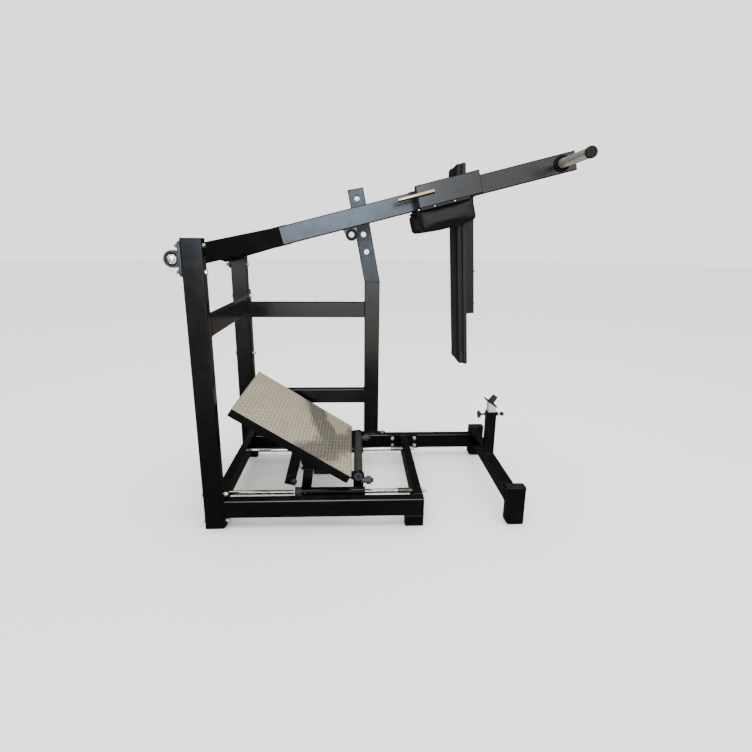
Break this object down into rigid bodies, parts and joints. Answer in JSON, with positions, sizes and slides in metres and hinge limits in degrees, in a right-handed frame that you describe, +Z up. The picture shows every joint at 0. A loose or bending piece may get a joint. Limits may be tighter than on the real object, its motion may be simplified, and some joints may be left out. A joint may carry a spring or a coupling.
{
  "type": "pendulum squat machine",
  "caption": "Pendulum squat machine: a steel frame carries a swinging arm with shoulder pads, back pad and weight horns over a sliding, tilting foot plate.",
  "frame": {"origin": "on the floor under the middle of the machine's bounding box", "axes": "+X forward, from the uprights to the foot blocks; +Y from the near side of the picture to the far side, across the machine; +Z up"},
  "size_m": [2.0681, 0.85, 1.9736],
  "materials": {
    "powder_coat": "satin black powder coat",
    "chromed_steel": "polished chrome",
    "zinc_steel": "bright zinc",
    "yellow_zinc": "yellow zinc plating",
    "housing_iron": "painted casting",
    "tread_steel": "worn raised-diamond tread, light warm grey",
    "spring_steel": "black oxide",
    "black_vinyl": "matt black vinyl over foam",
    "board": "black-faced plywood",
    "black_plastic": "moulded black plastic",
    "black_rubber": "matt black rubber",
    "bumper_rubber": "dark grey rubber"
  },
  "bodies": {
    "frame": {"near_upright": "powder_coat", "far_upright": "powder_coat", "upper_crossmember": "powder_coat", "rear_base_crossmember": "powder_coat", "front_base_crossmember": "powder_coat", "near_base_rail": "powder_coat", "near_rail_foot": "powder_coat", "far_base_rail": "powder_coat", "side_rail_plate": "powder_coat", "upper_side_rail": "powder_coat", "lower_side_rail": "powder_coat", "front_post": "powder_coat", "post_head": "powder_coat", "foot_cross_tube": "powder_coat", "near_foot_block": "powder_coat", "far_foot_block": "powder_coat", "stop_post": "powder_coat", "near_pillow_block": "housing_iron", "far_pillow_block": "housing_iron", "near_guide_rod": "chromed_steel", "far_guide_rod": "chromed_steel", "near_rod_spring": "spring_steel", "far_rod_spring": "spring_steel"},
    "swing_arm": {"pivot_shaft": "chromed_steel", "near_bearing_insert": "zinc_steel", "far_bearing_insert": "zinc_steel", "pivot_tube": "powder_coat", "near_yoke_leg": "powder_coat", "far_yoke_leg": "powder_coat", "rear_beam": "powder_coat", "front_beam": "powder_coat", "near_head_rail": "powder_coat", "far_head_rail": "powder_coat", "rear_head_crosspiece": "powder_coat", "front_head_crosspiece": "powder_coat", "near_weight_horn": "chromed_steel", "far_weight_horn": "chromed_steel", "near_handle": "yellow_zinc", "far_handle": "yellow_zinc", "near_shoulder_pad": "black_vinyl", "far_shoulder_pad": "black_vinyl", "back_pad": "black_vinyl", "back_pad_board": "board", "back_support_tube": "powder_coat", "catch_bracket": "powder_coat"},
    "roller": {"catch_roller": "black_rubber"},
    "foot_carriage": {"near_slide_tube": "powder_coat", "far_slide_tube": "powder_coat", "hinge_cross_tube": "powder_coat"},
    "foot_plate": {"tread_plate": "tread_steel", "near_plate_rim": "powder_coat", "far_plate_rim": "powder_coat", "upper_plate_rim": "powder_coat", "lower_plate_rim": "powder_coat", "adjuster_leg": "powder_coat"},
    "plate_knob": {"adjuster_knob": "black_plastic"},
    "arm_stop": {"stop_tube": "chromed_steel", "stop_bumper": "bumper_rubber"},
    "clamp_knob": {"star_knob": "black_plastic"},
    "pull_pin": {"stop_pin": "black_plastic"}
  },
  "joints": [
    {"name": "arm_swing", "type": "hinge", "parent": "frame", "child": "swing_arm", "pos_m": [-0.99289, 0, 1.408], "axis": [0, 1, 0], "range_deg": [-5, 31]},
    {"name": "roller_spin", "type": "hinge", "parent": "swing_arm", "child": "roller", "pos_m": [-0.17344, -0.006, 1.52982], "axis": [0, 1, 0], "continuous": true},
    {"name": "carriage_slide", "type": "slide", "parent": "frame", "child": "foot_carriage", "axis": [-1, 0, 0], "range_m": [-0.18, 0.34]},
    {"name": "foot_plate_tilt", "type": "hinge", "parent": "foot_carriage", "child": "foot_plate", "pos_m": [-0.13699, 0, 0.215], "axis": [0, 1, 0], "range_deg": [0, 12]},
    {"name": "plate_knob_turn", "type": "hinge", "parent": "foot_plate", "child": "plate_knob", "pos_m": [-0.49414, -0.285, 0.19934], "axis": [0, 1, 0], "range_deg": [-360, 0]},
    {"name": "stop_slide", "type": "slide", "parent": "frame", "child": "arm_stop", "axis": [0, 0, 1], "range_m": [-0.03, 0.18]},
    {"name": "clamp_knob_turn", "type": "hinge", "parent": "frame", "child": "clamp_knob", "pos_m": [0.60501, 0, 0.47], "axis": [1, 0, 0], "range_deg": [-360, 0]},
    {"name": "stop_pin_pull", "type": "slide", "parent": "frame", "child": "pull_pin", "axis": [1, 0, 0], "range_m": [-0.012, 0]}
  ]
}
